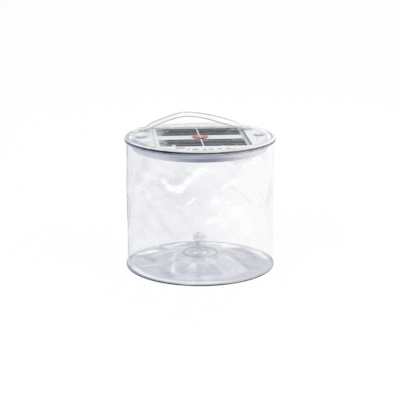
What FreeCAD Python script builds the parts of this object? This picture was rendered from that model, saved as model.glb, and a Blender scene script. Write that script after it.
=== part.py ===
import FreeCAD, Part
import math
import os

os.makedirs("parts", exist_ok=True)

V = FreeCAD.Vector
UP = V(0, 0, 1)

# Inflatable solar lantern. Millimetres, Z up. The origin is the middle of the ring it stands on.
# The solar panel's edges run along X and Y, and the strap is on the +Y side.

# Envelope of clear film
RIM_RADIUS = 63.5  # outside of the welded rim at the top
TOP_HEIGHT = 111.2  # top of that rim above the table
BASE_RADIUS = 63.3  # outside of the ring at the base
FILM = 0.4  # thickness of the clear film
RIM_WIDTH = 2.8
RIM_DEPTH = 3.0
RIM_ROUND = 0.9  # rounding of the rim's section
BASE_WIDTH = 2.2
BASE_DEPTH = 1.6
BASE_ROUND = 0.5
WALL_INSET = 1.2  # the wall's outside lies this far inside the rim's outside
WALL_BASE_INSET = 0.7  # the same at the base
WALL_WAIST = 0.25  # how far the wall draws in at half height
FILM_LAP = 1.0  # the top film's edge on the rim, from the rim's outside

# Bottom film and valve recess
FLOOR_LIFT = 0.7  # underside of the bottom film above the table
RECESS_INSET = 9.1  # flat edge of the film, from the base ring to where it begins to rise
RECESS_DEPTH = 8.1  # how far it rises to the valve
CROWN_MARGIN = 0.4  # flat crown of the film beyond the valve flange

# Valve
STEM_RADIUS = 5.1
STEM_BORE = 3.0  # radius of the air way
STEM_TOP = 26.0  # inner end of the stem above the table
STEM_FIT = 0.5  # stem to flange, on the radius
FLANGE_RADIUS = 15.0
FLANGE_DEPTH = 1.4
FLANGE_BEVEL = 0.8
FLANGE_WELD = 2.2  # width of the sunk weld step around the flange
FLANGE_STEP = 0.2
COLLAR_WALL = 1.8
COLLAR_HEIGHT = 2.4
COLLAR_FOOT = 1.2
COLLAR_EDGE = 0.5
STEM_EDGE = 0.3
HEAD_EXTRA = 1.2  # the stem's inner end is this much wider and stops it in the flange
HEAD_HEIGHT = 5.0
HEAD_BEVEL = 0.8
CUP_WALL = 1.7
CUP_DEPTH = 3.2
FLAP_FIT = 0.7  # flap to cup, on the radius
FLAP_DEPTH = 0.6
CAP_BOTTOM = 0.5  # the cap stays this far above the table
CAP_DEPTH = 1.4
CAP_OVERHANG = 0.5  # the cap's head beyond the stem
CAP_SEAT_GAP = 0.1
CAP_EDGE = 0.5
CAP_INNER_EDGE = 0.3
PLUG_LENGTH = 3.5
PLUG_FIT = 0.4
PLUG_TAPER = 0.7
TONGUE_WIDTH = 3.4
TONGUE_DEPTH = 0.8
TONGUE_CORNER = 0.3
TONGUE_ROOT = 1.0  # how far the tongue runs into the cap
TETHER_REACH = 2.5  # the cap's hinge line lies this far outside the cap
TETHER_GAP = 0.45
TETHER_RING = 1.4
TETHER_ARM = 1.1  # thickness of the tether's arm and of its end
TETHER_ROOT = 1.0  # how far the arm runs into the ring
TETHER_BEND = 0.8
TETHER_RISE = 2.4  # the tether's ring above the stem's mouth

# Lamp head
POD_GAP = 3.7  # from the rim's inside to the head
POD_DEPTH = 9.8  # from the film's underside to the bottom of the head
POD_SKIRT = 2.0
POD_TOP = 1.2  # thickness of the top wall
POD_ROUND = 0.8
TRAY_DEPTH = 2.4  # recess that holds the solar panel
TRAY_FLOOR = 1.0
TRAY_WALL = 1.0
JOIN = 0.1  # joined forms run this far into each other
PAST = 1.0  # cutters run this far past a face
PANEL_MARGIN = 3.22  # from the panel's corner to the outside of the head
PANEL_CORNER = 4.0
PANEL_FIT = 0.35
BOARD_DEPTH = 1.4
CELL_DEPTH = 0.25
CELL_MARGIN_X = 3.75  # from the cells to the panel's left and right edges
CELL_MARGIN_Y = 3.3  # from the cells to its front and back edges
CELL_GAP = 1.3  # between the left and right cells
ROW_GAP = 17.0  # pale bar between the front and back rows
STRIP_WIDTH = 1.2
STRIP_DEPTH = 0.1
STRIP_INSET = 0.5
STRIP_COUNT = 2  # contact strips on each cell
COVER_DEPTH = 0.8
DISC_RADIUS = 6.5

# Inside the head
COVER_THICK = 1.2
COVER_FIT = 0.4
RIDGE_COUNT = 4
RIDGE_STEP = 2.2
RIDGE_WIDTH = 2.0
RIDGE_DEPTH = 0.4
PCB_DEPTH = 1.0
PCB_FIT = 0.6
PCB_STANDOFF = 1.0  # underside of the circuit board above the bottom cover
LED_COUNT = 10
LED_INSET = 13.0  # from the skirt's inside to the ring of lights
LED_TURN = 18.0  # degrees from the X axis to the first light
LED_LENGTH = 3.5
LED_WIDTH = 2.8
LED_DEPTH = 0.55
LENS_RADIUS = 1.2
LENS_DEPTH = 0.25
LENS_ROUND = 0.15
BATTERY_LENGTH = 50.0
BATTERY_WIDTH = 36.0
BATTERY_DEPTH = 3.0
BATTERY_ROUND = 0.7
BATTERY_LEDGE = 4.0
LEDGE_DEPTH = 0.8
LEDGE_INSET = 1.0
LEDGE_ROOT = 1.0  # how far the ledge runs into the battery
FOAM_DEPTH = 0.8
FOAM_INSET = 2.0
WINDOW_FIT = 2.0  # circuit board around the battery
WINDOW_CORNER = 2.0
LEAD_RADIUS = 0.4
LEAD_SPACING = 6.0
LEAD_START = 1.6  # the leads begin this far along the ledge
LEAD_REACH = 5.0  # past the window's edge
SOLAR_LEAD_INSET = 11.2  # from the panel's front edge to its leads
LEAD_SLOT = 3.0
LEAD_SLOT_MARGIN = 2.0
LEAD_SLOT_CORNER = 1.0
LEAD_LIFT = 0.3
LEAD_BEND = 0.6
SCREW_COUNT = 4
SCREW_INSET = 6.0  # from the skirt's inside to the screws
SCREW_RADIUS = 1.0
SCREW_HEAD = 1.9
SCREW_HEAD_DEPTH = 0.9
SCREW_ROUND = 0.4
SCREW_SUNK = 0.1
SCREW_CLEAR = 0.2  # beyond the screw's end, and again to the tray
CROSS_LENGTH = 2.3
CROSS_WIDTH = 0.5
CROSS_DEPTH = 0.4
SCREW_FIT = 0.3
BOSS_RADIUS = 2.6

# Buttons and charge lights
BUTTON_EDGE_GAP = 0.7  # from the button's flange to the skirt's inside
BUTTON_RADIUS = 3.85
BUTTON_FIT = 0.35
BUTTON_PROUD = 0.6
BUTTON_FLANGE = 0.85  # the flange under the top wall is this much wider
BUTTON_FLANGE_DEPTH = 0.7
BUTTON_TOP_GAP = 0.2
BUTTON_TRAVEL = 0.5
SWITCH_SIDE = 6.0
SWITCH_DEPTH = 3.4
SWITCH_BEVEL = 0.5
SWITCH_SPARE = 0.1  # left under the plunger when it is pressed
PLUNGER_RADIUS = 1.6
PLUNGER_FIT = 0.35
PLUNGER_SUNK = 1.2
LIGHT_COUNT = 3
LIGHT_INSET = 3.1  # row of lights, nearer the middle than the button
LIGHT_START = 9.0  # from the button's centre line to the first light
LIGHT_STEP = 5.5
LIGHT_RADIUS = 1.0
CHIP_LENGTH = 1.6
CHIP_WIDTH = 1.2
CHIP_DEPTH = 0.7

# Strap
STRAP_BACK = 33.0  # from the rim's inside at the back to the strap's hinge line
STRAP_LEFT_INSET = 14.2  # from the rim's inside at the left to the strap's end
STRAP_RIGHT_INSET = 19.2  # the same at the right
STRAP_WIDTH = 11.0
STRAP_THICK = 0.8
STRAP_RISE = 12.2  # peak of the strap above its hinge line
STRAP_PEAK_SHARE = 0.42  # where the peak lies, from left to right
STRAP_FULLNESS = 1.2  # above 1 the arch is hollow near its ends
STRAP_POINTS = 5  # points on each side of the peak
STRAP_LEAN = 9.0  # degrees that the strap leans to the front
STRAP_NECK = 1.2
STRAP_NECK_RUN = 16.5  # from the strap's end to its full width
STRAP_HINGE_LIFT = 1.1  # hinge line above the weld tabs
TAB_LENGTH = 11.0
TAB_THICK = 0.5
TAB_CORNER = 2.0
TAB_EDGE_GAP = 0.5

# Heights that follow from the sizes above
film_z = TOP_HEIGHT
film_top = film_z + FILM
pod_bottom = film_z - POD_DEPTH
tray_z = film_z - TRAY_DEPTH
tray_under = tray_z - TRAY_FLOOR
top_under = film_z - POD_TOP
board_top = tray_z + BOARD_DEPTH
cover_in = pod_bottom + COVER_THICK
pcb_z = cover_in + PCB_STANDOFF
pcb_top = pcb_z + PCB_DEPTH
cap_top = CAP_BOTTOM + CAP_DEPTH
mouth_z = cap_top + CAP_SEAT_GAP
dome_z = FLOOR_LIFT + RECESS_DEPTH
flange_z = dome_z + FILM
flange_top = flange_z + FLANGE_DEPTH
cup_z = STEM_TOP - CUP_DEPTH
head_z = STEM_TOP - HEAD_HEIGHT

# Radii that follow from the sizes above
rim_in = RIM_RADIUS - RIM_WIDTH
base_in = BASE_RADIUS - BASE_WIDTH
flange_bore = STEM_RADIUS + STEM_FIT
head_radius = STEM_RADIUS + HEAD_EXTRA
cup_radius = head_radius - CUP_WALL
cap_radius = STEM_RADIUS + CAP_OVERHANG
hinge_x = cap_radius + TETHER_REACH
pod_radius = rim_in - POD_GAP
skirt_in = pod_radius - POD_SKIRT
cover_radius = skirt_in - COVER_FIT
pcb_radius = skirt_in - PCB_FIT
well_radius = BUTTON_RADIUS + BUTTON_FIT
button_x = skirt_in - BUTTON_EDGE_GAP - BUTTON_FLANGE - BUTTON_RADIUS
light_x = button_x - LIGHT_INSET
led_ring = skirt_in - LED_INSET
screw_ring = skirt_in - SCREW_INSET
recess_radius = base_in - RECESS_INSET

# The solar panel's sides, which follow from the round head, and its cells
corner_reach = pod_radius - PANEL_MARGIN - PANEL_CORNER
panel_side = 2 * (corner_reach * math.sqrt(0.5) + PANEL_CORNER)
tray_side = panel_side + 2 * PANEL_FIT
cell_width = (panel_side - CELL_GAP) / 2 - CELL_MARGIN_X
cell_length = (panel_side - ROW_GAP) / 2 - CELL_MARGIN_Y

# Places of the strap's hinge line and of its two ends
strap_y = rim_in - STRAP_BACK
strap_left = STRAP_LEFT_INSET - rim_in
strap_right = rim_in - STRAP_RIGHT_INSET


def save(name, *solids):
    """Write one piece, or a set of equal pieces, to its own file."""
    shape = solids[0] if len(solids) == 1 else Part.makeCompound(list(solids))
    shape.exportStep("parts/" + name + ".step")


def cylinder(radius, z0, z1, x=0, y=0):
    return Part.makeCylinder(radius, z1 - z0, V(x, y, z0), UP)


def ring(inside, outside, z0, z1, x=0, y=0):
    return cylinder(outside, z0, z1, x, y).cut(cylinder(inside, z0, z1, x, y))


def block(length, width, z0, z1, x=0, y=0):
    return Part.makeBox(length, width, z1 - z0, V(x - length / 2, y - width / 2, z0))


def plate(length, width, corner, z0, z1, x=0, y=0):
    """A flat plate with rounded corners."""
    solid = block(length, width, z0, z1, x, y)
    upright = [e for e in solid.Edges if abs(e.tangentAt(e.FirstParameter).z) > 0.9]
    return solid.makeFillet(corner, upright)


def turned(edges):
    """A closed outline in the XZ plane, turned around Z."""
    face = Part.Face(Part.Wire(edges))
    return face.revolve(V(0, 0, 0), UP, 360)


def outline(points):
    """Straight edges through (radius, height) points, closed."""
    corners = [V(r, 0, z) for r, z in points]
    return Part.makePolygon(corners + corners[:1]).Edges


def turned_points(points):
    return turned(outline(points))


def turned_bead(r0, r1, z0, z1, rounding):
    """A ring whose section is a rectangle with rounded corners."""
    solid = ring(r0, r1, z0, z1)
    edges = [e for e in solid.Edges if isinstance(e.Curve, Part.Circle)]
    return solid.makeFillet(rounding, edges)


def around(count, radius, start=0.0):
    """Places on a circle: (x, y, angle in degrees)."""
    places = []
    for i in range(count):
        angle = start + 360.0 * i / count
        turn = math.radians(angle)
        places.append((radius * math.cos(turn), radius * math.sin(turn), angle))
    return places


def arc(a, b, c):
    return Part.Arc(a, b, c).toShape()


def line(a, b):
    return Part.makeLine(a, b)


def smooth(points):
    """A smooth curve through the points."""
    curve = Part.BSplineCurve()
    curve.interpolate(points)
    return curve


def top_edges(solid, z):
    """The round edges that lie at one height."""
    found = []
    for e in solid.Edges:
        flat = abs(e.BoundBox.ZMin - z) < 0.001 and abs(e.BoundBox.ZMax - z) < 0.001
        if flat and isinstance(e.Curve, Part.Circle):
            found.append(e)
    return found


# The four places of the screws, on the panel's diagonals
screw_places = around(SCREW_COUNT, screw_ring, 45.0)
button_places = [(-button_x, 0.0), (button_x, 0.0)]
light_places = [(light_x, -LIGHT_START - LIGHT_STEP * i) for i in range(LIGHT_COUNT)]


# Welded rim and base ring
rim_low = TOP_HEIGHT - RIM_DEPTH
save("top_weld_bead", turned_bead(rim_in, RIM_RADIUS, rim_low, TOP_HEIGHT, RIM_ROUND))
save("base_weld_bead", turned_bead(base_in, BASE_RADIUS, 0, BASE_DEPTH, BASE_ROUND))


# Top film, welded on the rim, with a round place for each button
top_film = cylinder(RIM_RADIUS - FILM_LAP, film_z, film_top)
for x, y in button_places:
    top_film = top_film.cut(cylinder(well_radius, film_z - PAST, film_top + PAST, x, y))
save("top_film", top_film)


# Wall sleeve, drawn in a little at half height
wall_top = RIM_RADIUS - WALL_INSET
wall_low = BASE_RADIUS - WALL_BASE_INSET
half_height = (rim_low + BASE_DEPTH) / 2
waist = (wall_top + wall_low) / 2 - WALL_WAIST
outer = [V(wall_low, 0, BASE_DEPTH), V(waist, 0, half_height), V(wall_top, 0, rim_low)]
inner = [p - V(FILM, 0, 0) for p in outer]
sleeve = turned([
    smooth(outer).toShape(),
    line(outer[2], inner[2]),
    smooth(inner).toShape(),
    line(inner[0], outer[0]),
])
save("wall_sleeve", sleeve)


# Bottom film: flat at the ring, then a smooth rise to the valve in two arcs that meet
flat_r = flange_bore
rise_r = FLANGE_RADIUS + CROWN_MARGIN
run = recess_radius - rise_r
bend = (run ** 2 + RECESS_DEPTH ** 2) / (4 * RECESS_DEPTH)
half_turn = math.asin(run / 2 / bend) / 2
mid = V((recess_radius + rise_r) / 2, 0, FLOOR_LIFT + RECESS_DEPTH / 2)
low_mid = V(recess_radius - bend * math.sin(half_turn), 0, FLOOR_LIFT + bend * (1 - math.cos(half_turn)))
high_mid = V(rise_r + bend * math.sin(half_turn), 0, dome_z - bend * (1 - math.cos(half_turn)))


def film_curve(lift):
    """The film's profile from the ring to the valve, raised by lift."""
    up = V(0, 0, lift)
    start = V(base_in, 0, FLOOR_LIFT) + up
    foot = V(recess_radius, 0, FLOOR_LIFT) + up
    crown = V(rise_r, 0, dome_z) + up
    end = V(flat_r, 0, dome_z) + up
    return [
        line(start, foot),
        arc(foot, low_mid + up, mid + up),
        arc(mid + up, high_mid + up, crown),
        line(crown, end),
    ]


close = [
    line(V(flat_r, 0, dome_z), V(flat_r, 0, dome_z + FILM)),
    line(V(base_in, 0, FLOOR_LIFT), V(base_in, 0, FLOOR_LIFT + FILM)),
]
save("bottom_film", turned(Part.__sortEdges__(film_curve(0) + film_curve(FILM) + close)))


# Valve flange: a welded disc with a collar that guides the stem
collar_radius = flange_bore + COLLAR_WALL
flange = turned_points([
    (flange_bore, flange_z),
    (FLANGE_RADIUS, flange_z),
    (FLANGE_RADIUS, flange_z + FLANGE_DEPTH / 2),
    (FLANGE_RADIUS - FLANGE_BEVEL, flange_top - FLANGE_STEP),
    (FLANGE_RADIUS - FLANGE_WELD, flange_top - FLANGE_STEP),
    (FLANGE_RADIUS - FLANGE_WELD - FLANGE_STEP, flange_top),
    (collar_radius + COLLAR_FOOT, flange_top),
    (collar_radius, flange_top + COLLAR_FOOT),
    (collar_radius, flange_top + COLLAR_HEIGHT - COLLAR_EDGE),
    (collar_radius - COLLAR_EDGE, flange_top + COLLAR_HEIGHT),
    (flange_bore, flange_top + COLLAR_HEIGHT),
])
save("valve_flange", flange)


# Valve stem: a tube with a wider cup at its inner end
stem = turned_points([
    (STEM_BORE, mouth_z),
    (STEM_RADIUS - STEM_EDGE, mouth_z),
    (STEM_RADIUS, mouth_z + STEM_EDGE),
    (STEM_RADIUS, head_z),
    (head_radius, head_z + HEAD_EXTRA / 2),
    (head_radius, STEM_TOP - HEAD_BEVEL),
    (head_radius - HEAD_BEVEL, STEM_TOP),
    (cup_radius, STEM_TOP),
    (cup_radius, cup_z),
    (STEM_BORE, cup_z),
])
save("valve_stem", stem)


# Non-return flap, flat on its seat in the cup
flap_radius = cup_radius - FLAP_FIT
save("valve_flap", cylinder(flap_radius, cup_z, cup_z + FLAP_DEPTH))


# Cap with a tapered plug and a tongue that reaches under the tether's end
plug_radius = STEM_BORE - PLUG_FIT
cap = turned_points([
    (0, CAP_BOTTOM),
    (cap_radius - CAP_EDGE, CAP_BOTTOM),
    (cap_radius, CAP_BOTTOM + CAP_EDGE),
    (cap_radius, cap_top - CAP_INNER_EDGE),
    (cap_radius - CAP_INNER_EDGE, cap_top),
    (plug_radius, cap_top),
    (plug_radius - PLUG_TAPER, cap_top + PLUG_LENGTH),
    (0, cap_top + PLUG_LENGTH),
])
tongue_z = CAP_BOTTOM + (CAP_DEPTH - TONGUE_DEPTH) / 2
tongue_end = hinge_x + TONGUE_DEPTH / 2
tongue_start = cap_radius - TONGUE_ROOT
tongue = plate(
    tongue_end - tongue_start, TONGUE_WIDTH, TONGUE_CORNER,
    tongue_z, tongue_z + TONGUE_DEPTH, (tongue_end + tongue_start) / 2,
)
save("valve_cap", cap.fuse(tongue).removeSplitter())


# Tether: a ring around the stem, an arm, and an end that hangs over the cap's tongue
tether_z = mouth_z + TETHER_RISE
tether_end_z = tongue_z + TONGUE_DEPTH + TETHER_GAP
tether_out = hinge_x + TETHER_ARM
tether_top = tether_z + TETHER_ARM
arm_start = STEM_RADIUS + TETHER_RING - TETHER_ROOT
arm = block(
    tether_out - arm_start, TONGUE_WIDTH, tether_z, tether_top, (tether_out + arm_start) / 2,
)
drop = block(
    TETHER_ARM, TONGUE_WIDTH, tether_end_z, tether_top, tether_out - TETHER_ARM / 2,
)
tether = ring(STEM_RADIUS, STEM_RADIUS + TETHER_RING, tether_z, tether_z + TETHER_RING)
tether = tether.fuse([arm, drop]).removeSplitter()
outer_bend = [
    e for e in tether.Edges
    if abs(e.BoundBox.XMin - tether_out) < 0.001
    and abs(e.BoundBox.ZMin - tether_top) < 0.001
]
save("valve_cap_tether", tether.makeFillet(TETHER_BEND, outer_bend))


# Upper shell of the head: round, with a square tray for the panel
shell = cylinder(pod_radius, pod_bottom, film_z)
shell = shell.makeFillet(POD_ROUND, top_edges(shell, film_z) + top_edges(shell, pod_bottom))
shell = shell.cut(cylinder(skirt_in, pod_bottom - PAST, top_under))
tray_outer = plate(
    tray_side + 2 * TRAY_WALL, tray_side + 2 * TRAY_WALL,
    PANEL_CORNER + PANEL_FIT + TRAY_WALL, tray_under, top_under + JOIN,
)
shell = shell.fuse(tray_outer.common(cylinder(pod_radius - POD_SKIRT / 2, tray_under, film_z)))
tray = plate(tray_side, tray_side, PANEL_CORNER + PANEL_FIT, tray_z, film_z + PAST)
shell = shell.cut(tray)
for x, y, angle in screw_places:
    shell = shell.fuse(cylinder(BOSS_RADIUS, pcb_top, tray_under + JOIN, x, y))
    shell = shell.cut(cylinder(SCREW_RADIUS, pcb_top - PAST, tray_z - SCREW_CLEAR, x, y))
for x, y in button_places:
    shell = shell.cut(cylinder(well_radius, top_under - PAST, film_z + PAST, x, y))
for x, y in light_places:
    shell = shell.cut(cylinder(LIGHT_RADIUS, top_under - PAST, film_z + PAST, x, y))
solar_lead_y = SOLAR_LEAD_INSET - panel_side / 2
slot = plate(
    LEAD_SPACING + 2 * LEAD_SLOT_MARGIN, LEAD_SLOT, LEAD_SLOT_CORNER,
    tray_under - PAST, tray_z + JOIN, 0, solar_lead_y,
)
shell = shell.cut(slot).removeSplitter()
save("head_upper_shell", shell)


# Clear bottom cover with ridges under the lights, standoffs and sunk screw places
cover = cylinder(cover_radius, pod_bottom, cover_in)
first_ridge = led_ring - RIDGE_STEP * (RIDGE_COUNT - 1) / 2
for i in range(RIDGE_COUNT):
    r = first_ridge + RIDGE_STEP * i
    groove = turned_points([
        (r - RIDGE_WIDTH / 2, pod_bottom),
        (r + RIDGE_WIDTH / 2, pod_bottom),
        (r, pod_bottom + RIDGE_DEPTH),
    ])
    cover = cover.cut(groove)
shank_hole = SCREW_RADIUS + SCREW_FIT
head_hole = SCREW_HEAD + SCREW_FIT
head_seat = pod_bottom + SCREW_HEAD_DEPTH
for x, y, angle in screw_places:
    cover = cover.fuse(cylinder(BOSS_RADIUS, cover_in, pcb_z, x, y))
    cover = cover.cut(cylinder(shank_hole, pod_bottom - PAST, pcb_z + PAST, x, y))
    cover = cover.cut(cylinder(head_hole, pod_bottom - PAST, head_seat, x, y))
save("head_bottom_cover", cover.removeSplitter())


# Circuit board with a window for the battery
window_length = BATTERY_LENGTH + BATTERY_LEDGE + 2 * WINDOW_FIT
window_x = BATTERY_LEDGE / 2
pcb = cylinder(pcb_radius, pcb_z, pcb_top)
pcb = pcb.cut(plate(
    window_length, BATTERY_WIDTH + 2 * WINDOW_FIT, WINDOW_CORNER,
    pcb_z - PAST, pcb_top + PAST, window_x,
))
for x, y, angle in screw_places:
    pcb = pcb.cut(cylinder(shank_hole, pcb_z - PAST, pcb_top + PAST, x, y))
save("circuit_board", pcb)


# White light emitters: a square chip with a low lens, facing down
emitters = []
lens_top = pcb_z - LED_DEPTH
for x, y, angle in around(LED_COUNT, led_ring, LED_TURN):
    chip = block(LED_WIDTH, LED_LENGTH, lens_top, pcb_z)
    lens = cylinder(LENS_RADIUS, lens_top - LENS_DEPTH, lens_top)
    lens = lens.makeFillet(LENS_ROUND, top_edges(lens, lens_top - LENS_DEPTH))
    emitter = chip.fuse(lens)
    emitter.rotate(V(0, 0, 0), UP, angle)
    emitter.translate(V(x, y, 0))
    emitters.append(emitter)
save("light_emitters", *emitters)


# Flat battery with its thin sealed end, on a foam pad under the tray
foam_z = tray_under - FOAM_DEPTH
battery_z = foam_z - BATTERY_DEPTH
battery = block(BATTERY_LENGTH, BATTERY_WIDTH, battery_z, foam_z)
battery = battery.makeFillet(BATTERY_ROUND, battery.Edges)
ledge_z = battery_z + (BATTERY_DEPTH - LEDGE_DEPTH) / 2
ledge = block(
    BATTERY_LEDGE + LEDGE_ROOT, BATTERY_WIDTH - 2 * LEDGE_INSET,
    ledge_z, ledge_z + LEDGE_DEPTH, (BATTERY_LENGTH + BATTERY_LEDGE - LEDGE_ROOT) / 2,
)
save("battery_cell", battery.fuse(ledge).removeSplitter())
save("battery_foam_pad", block(
    BATTERY_LENGTH - 2 * FOAM_INSET, BATTERY_WIDTH - 2 * FOAM_INSET, foam_z, tray_under,
))


# Leads: from the battery's thin end over the board's edge, and from the panel down to the board
battery_leads = []
ledge_top = ledge_z + LEDGE_DEPTH
lead_z = max(ledge_top, pcb_top) + LEAD_LIFT + LEAD_RADIUS
lead_x = BATTERY_LENGTH / 2 + LEAD_START
lead_turn_x = window_x + window_length / 2 + LEAD_REACH
for side in (-1, 1):
    y = side * LEAD_SPACING / 2
    centre = V(lead_turn_x, y, lead_z - LEAD_BEND)
    slant = LEAD_BEND * math.sqrt(0.5)
    start = V(lead_x, y, lead_z)
    turn_start = centre + V(0, 0, LEAD_BEND)
    turn_end = centre + V(LEAD_BEND, 0, 0)
    route = Part.Wire([
        line(start, turn_start),
        arc(turn_start, centre + V(slant, 0, slant), turn_end),
        line(turn_end, V(turn_end.x, y, pcb_top)),
    ])
    section = Part.Wire(Part.makeCircle(LEAD_RADIUS, start, V(1, 0, 0)))
    battery_leads.append(route.makePipeShell([section], True, True))
save("battery_leads", *battery_leads)

solar_leads = []
for side in (-1, 1):
    x = side * LEAD_SPACING / 2
    solar_leads.append(cylinder(LEAD_RADIUS, pcb_top, tray_z, x, solar_lead_y))
save("solar_leads", *solar_leads)


# Screws: a round head with a cross slot, and a shank up into the boss
screws = []
screw_end = tray_z - 2 * SCREW_CLEAR
head_low = pod_bottom + SCREW_SUNK
for x, y, angle in screw_places:
    head = cylinder(SCREW_HEAD, head_low, head_seat)
    head = head.makeFillet(SCREW_ROUND, top_edges(head, head_low))
    shank = cylinder(SCREW_RADIUS, head_seat, screw_end)
    screw = head.fuse(shank)
    for turn in (0, 90):
        slot = block(CROSS_LENGTH, CROSS_WIDTH, head_low - PAST, head_low + CROSS_DEPTH)
        slot.rotate(V(0, 0, 0), UP, turn)
        screw = screw.cut(slot)
    screw.translate(V(x, y, 0))
    screws.append(screw)
save("housing_screws", *screws)


# Solar panel: board, four cells, contact strips, and a clear cover cast over them
save("solar_board", plate(panel_side, panel_side, PANEL_CORNER, tray_z, board_top))
cell_top = board_top + CELL_DEPTH
strip_top = cell_top + STRIP_DEPTH
strip_length = cell_width - 2 * STRIP_INSET
cells = []
strips = []
for sx in (-1, 1):
    for sy in (-1, 1):
        x = sx * (CELL_GAP + cell_width) / 2
        y = sy * (ROW_GAP + cell_length) / 2
        cells.append(block(cell_width, cell_length, board_top, cell_top, x, y))
        for i in range(STRIP_COUNT):
            offset = cell_length * ((i + 0.5) / STRIP_COUNT - 0.5)
            strips.append(block(strip_length, STRIP_WIDTH, cell_top, strip_top, x, y + offset))
save("solar_cells", *cells)
save("solar_contact_strips", *strips)
panel_cover = plate(panel_side, panel_side, PANEL_CORNER, board_top, board_top + COVER_DEPTH)
save("solar_cover", panel_cover.cut(cells + strips))
cover_top = board_top + COVER_DEPTH
save("red_disc", cylinder(DISC_RADIUS, cover_top, film_z))


# Buttons: a low dome through the film, kept in by a flange under the top wall
flange_high = top_under - BUTTON_TOP_GAP
flange_low = flange_high - BUTTON_FLANGE_DEPTH
button_top = film_top + BUTTON_PROUD
switch_top = pcb_top + SWITCH_DEPTH
dome_radius = (BUTTON_RADIUS ** 2 + BUTTON_PROUD ** 2) / (2 * BUTTON_PROUD)
dome_half = math.asin(BUTTON_RADIUS / dome_radius) / 2
switches = []
for name, x, y in (("power", -button_x, 0.0), ("level", button_x, 0.0)):
    dome = [
        line(V(0, 0, flange_low), V(BUTTON_RADIUS + BUTTON_FLANGE, 0, flange_low)),
        line(
            V(BUTTON_RADIUS + BUTTON_FLANGE, 0, flange_low),
            V(BUTTON_RADIUS + BUTTON_FLANGE, 0, flange_high),
        ),
        line(V(BUTTON_RADIUS + BUTTON_FLANGE, 0, flange_high), V(BUTTON_RADIUS, 0, flange_high)),
        line(V(BUTTON_RADIUS, 0, flange_high), V(BUTTON_RADIUS, 0, film_top)),
        arc(
            V(BUTTON_RADIUS, 0, film_top),
            V(dome_radius * math.sin(dome_half), 0, button_top - dome_radius * (1 - math.cos(dome_half))),
            V(0, 0, button_top),
        ),
        line(V(0, 0, button_top), V(0, 0, flange_low)),
    ]
    button = turned(dome)
    button.translate(V(x, y, 0))
    save(name + "_button", button)
    plunger = cylinder(PLUNGER_RADIUS, switch_top - PLUNGER_SUNK, flange_low, x, y)
    save(name + "_switch_plunger", plunger)
    switch = block(SWITCH_SIDE, SWITCH_SIDE, pcb_top, switch_top, x, y)
    upright = [e for e in switch.Edges if abs(e.tangentAt(e.FirstParameter).z) > 0.9]
    switch = switch.makeChamfer(SWITCH_BEVEL, upright)
    pocket = switch_top - PLUNGER_SUNK - BUTTON_TRAVEL - SWITCH_SPARE
    switch = switch.cut(cylinder(PLUNGER_RADIUS + PLUNGER_FIT, pocket, switch_top + PAST, x, y))
    switches.append(switch)
save("switch_bodies", *switches)


# Charge lights: chips on the circuit board and light pipes up to the film
pipes = []
chips = []
for x, y in light_places:
    chips.append(block(CHIP_LENGTH, CHIP_WIDTH, pcb_top, pcb_top + CHIP_DEPTH, x, y))
    pipes.append(cylinder(LIGHT_RADIUS, pcb_top + CHIP_DEPTH, film_z, x, y))
save("charge_light_chips", *chips)
save("charge_light_pipes", *pipes)


# Weld tabs for the strap, trimmed to stay inside the rim
for name, x in (("left", strap_left), ("right", strap_right)):
    tab = plate(TAB_LENGTH, STRAP_WIDTH, TAB_CORNER, film_top, film_top + TAB_THICK, x, strap_y)
    tab = tab.common(cylinder(rim_in - TAB_EDGE_GAP, film_top, film_top + TAB_THICK))
    save("strap_weld_tab_" + name, tab)


# Strap: an arched band, narrow at its two ends so that it can swing, leaning to the front
hinge_z = film_top + TAB_THICK + STRAP_HINGE_LIFT
span = strap_right - strap_left
peak_x = strap_left + span * STRAP_PEAK_SHARE


def arch_point(end_x, way):
    """A point of the arch's top, on the way from one end (0) to the peak (1)."""
    rise = math.sin(math.pi / 2 * way) ** STRAP_FULLNESS
    return V(end_x + (peak_x - end_x) * way, 0, STRAP_THICK / 2 + STRAP_RISE * rise)


steps = [i / (STRAP_POINTS - 1) for i in range(STRAP_POINTS)]
top_points = [arch_point(strap_left, way) for way in steps]
top_points += [arch_point(strap_right, way) for way in reversed(steps[:-1])]
upper = smooth(top_points)
lower = upper.copy()
lower.translate(V(0, 0, -STRAP_THICK))
band = Part.Face(Part.Wire([
    upper.toShape(),
    line(top_points[-1], top_points[-1] - V(0, 0, STRAP_THICK)),
    lower.toShape(),
    line(top_points[0] - V(0, 0, STRAP_THICK), top_points[0]),
]))
band.translate(V(0, -STRAP_WIDTH / 2, 0))
strap = band.extrude(V(0, STRAP_WIDTH, 0))
plan = [
    (strap_left, -STRAP_NECK / 2),
    (strap_left + STRAP_NECK_RUN, -STRAP_WIDTH / 2),
    (strap_right - STRAP_NECK_RUN, -STRAP_WIDTH / 2),
    (strap_right, -STRAP_NECK / 2),
    (strap_right, STRAP_NECK / 2),
    (strap_right - STRAP_NECK_RUN, STRAP_WIDTH / 2),
    (strap_left + STRAP_NECK_RUN, STRAP_WIDTH / 2),
    (strap_left, STRAP_NECK / 2),
]
corners = [V(x, y, -STRAP_THICK) for x, y in plan]
plan_height = STRAP_RISE + 3 * STRAP_THICK
plan_solid = Part.Face(Part.makePolygon(corners + corners[:1])).extrude(V(0, 0, plan_height))
strap = strap.common(plan_solid)
strap.rotate(V(0, 0, 0), V(1, 0, 0), STRAP_LEAN)
strap.translate(V(0, strap_y, hinge_z))
save("handle_strap", strap)
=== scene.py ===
import math

import bmesh
import bpy
import numpy as np
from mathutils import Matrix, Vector, noise


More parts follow.
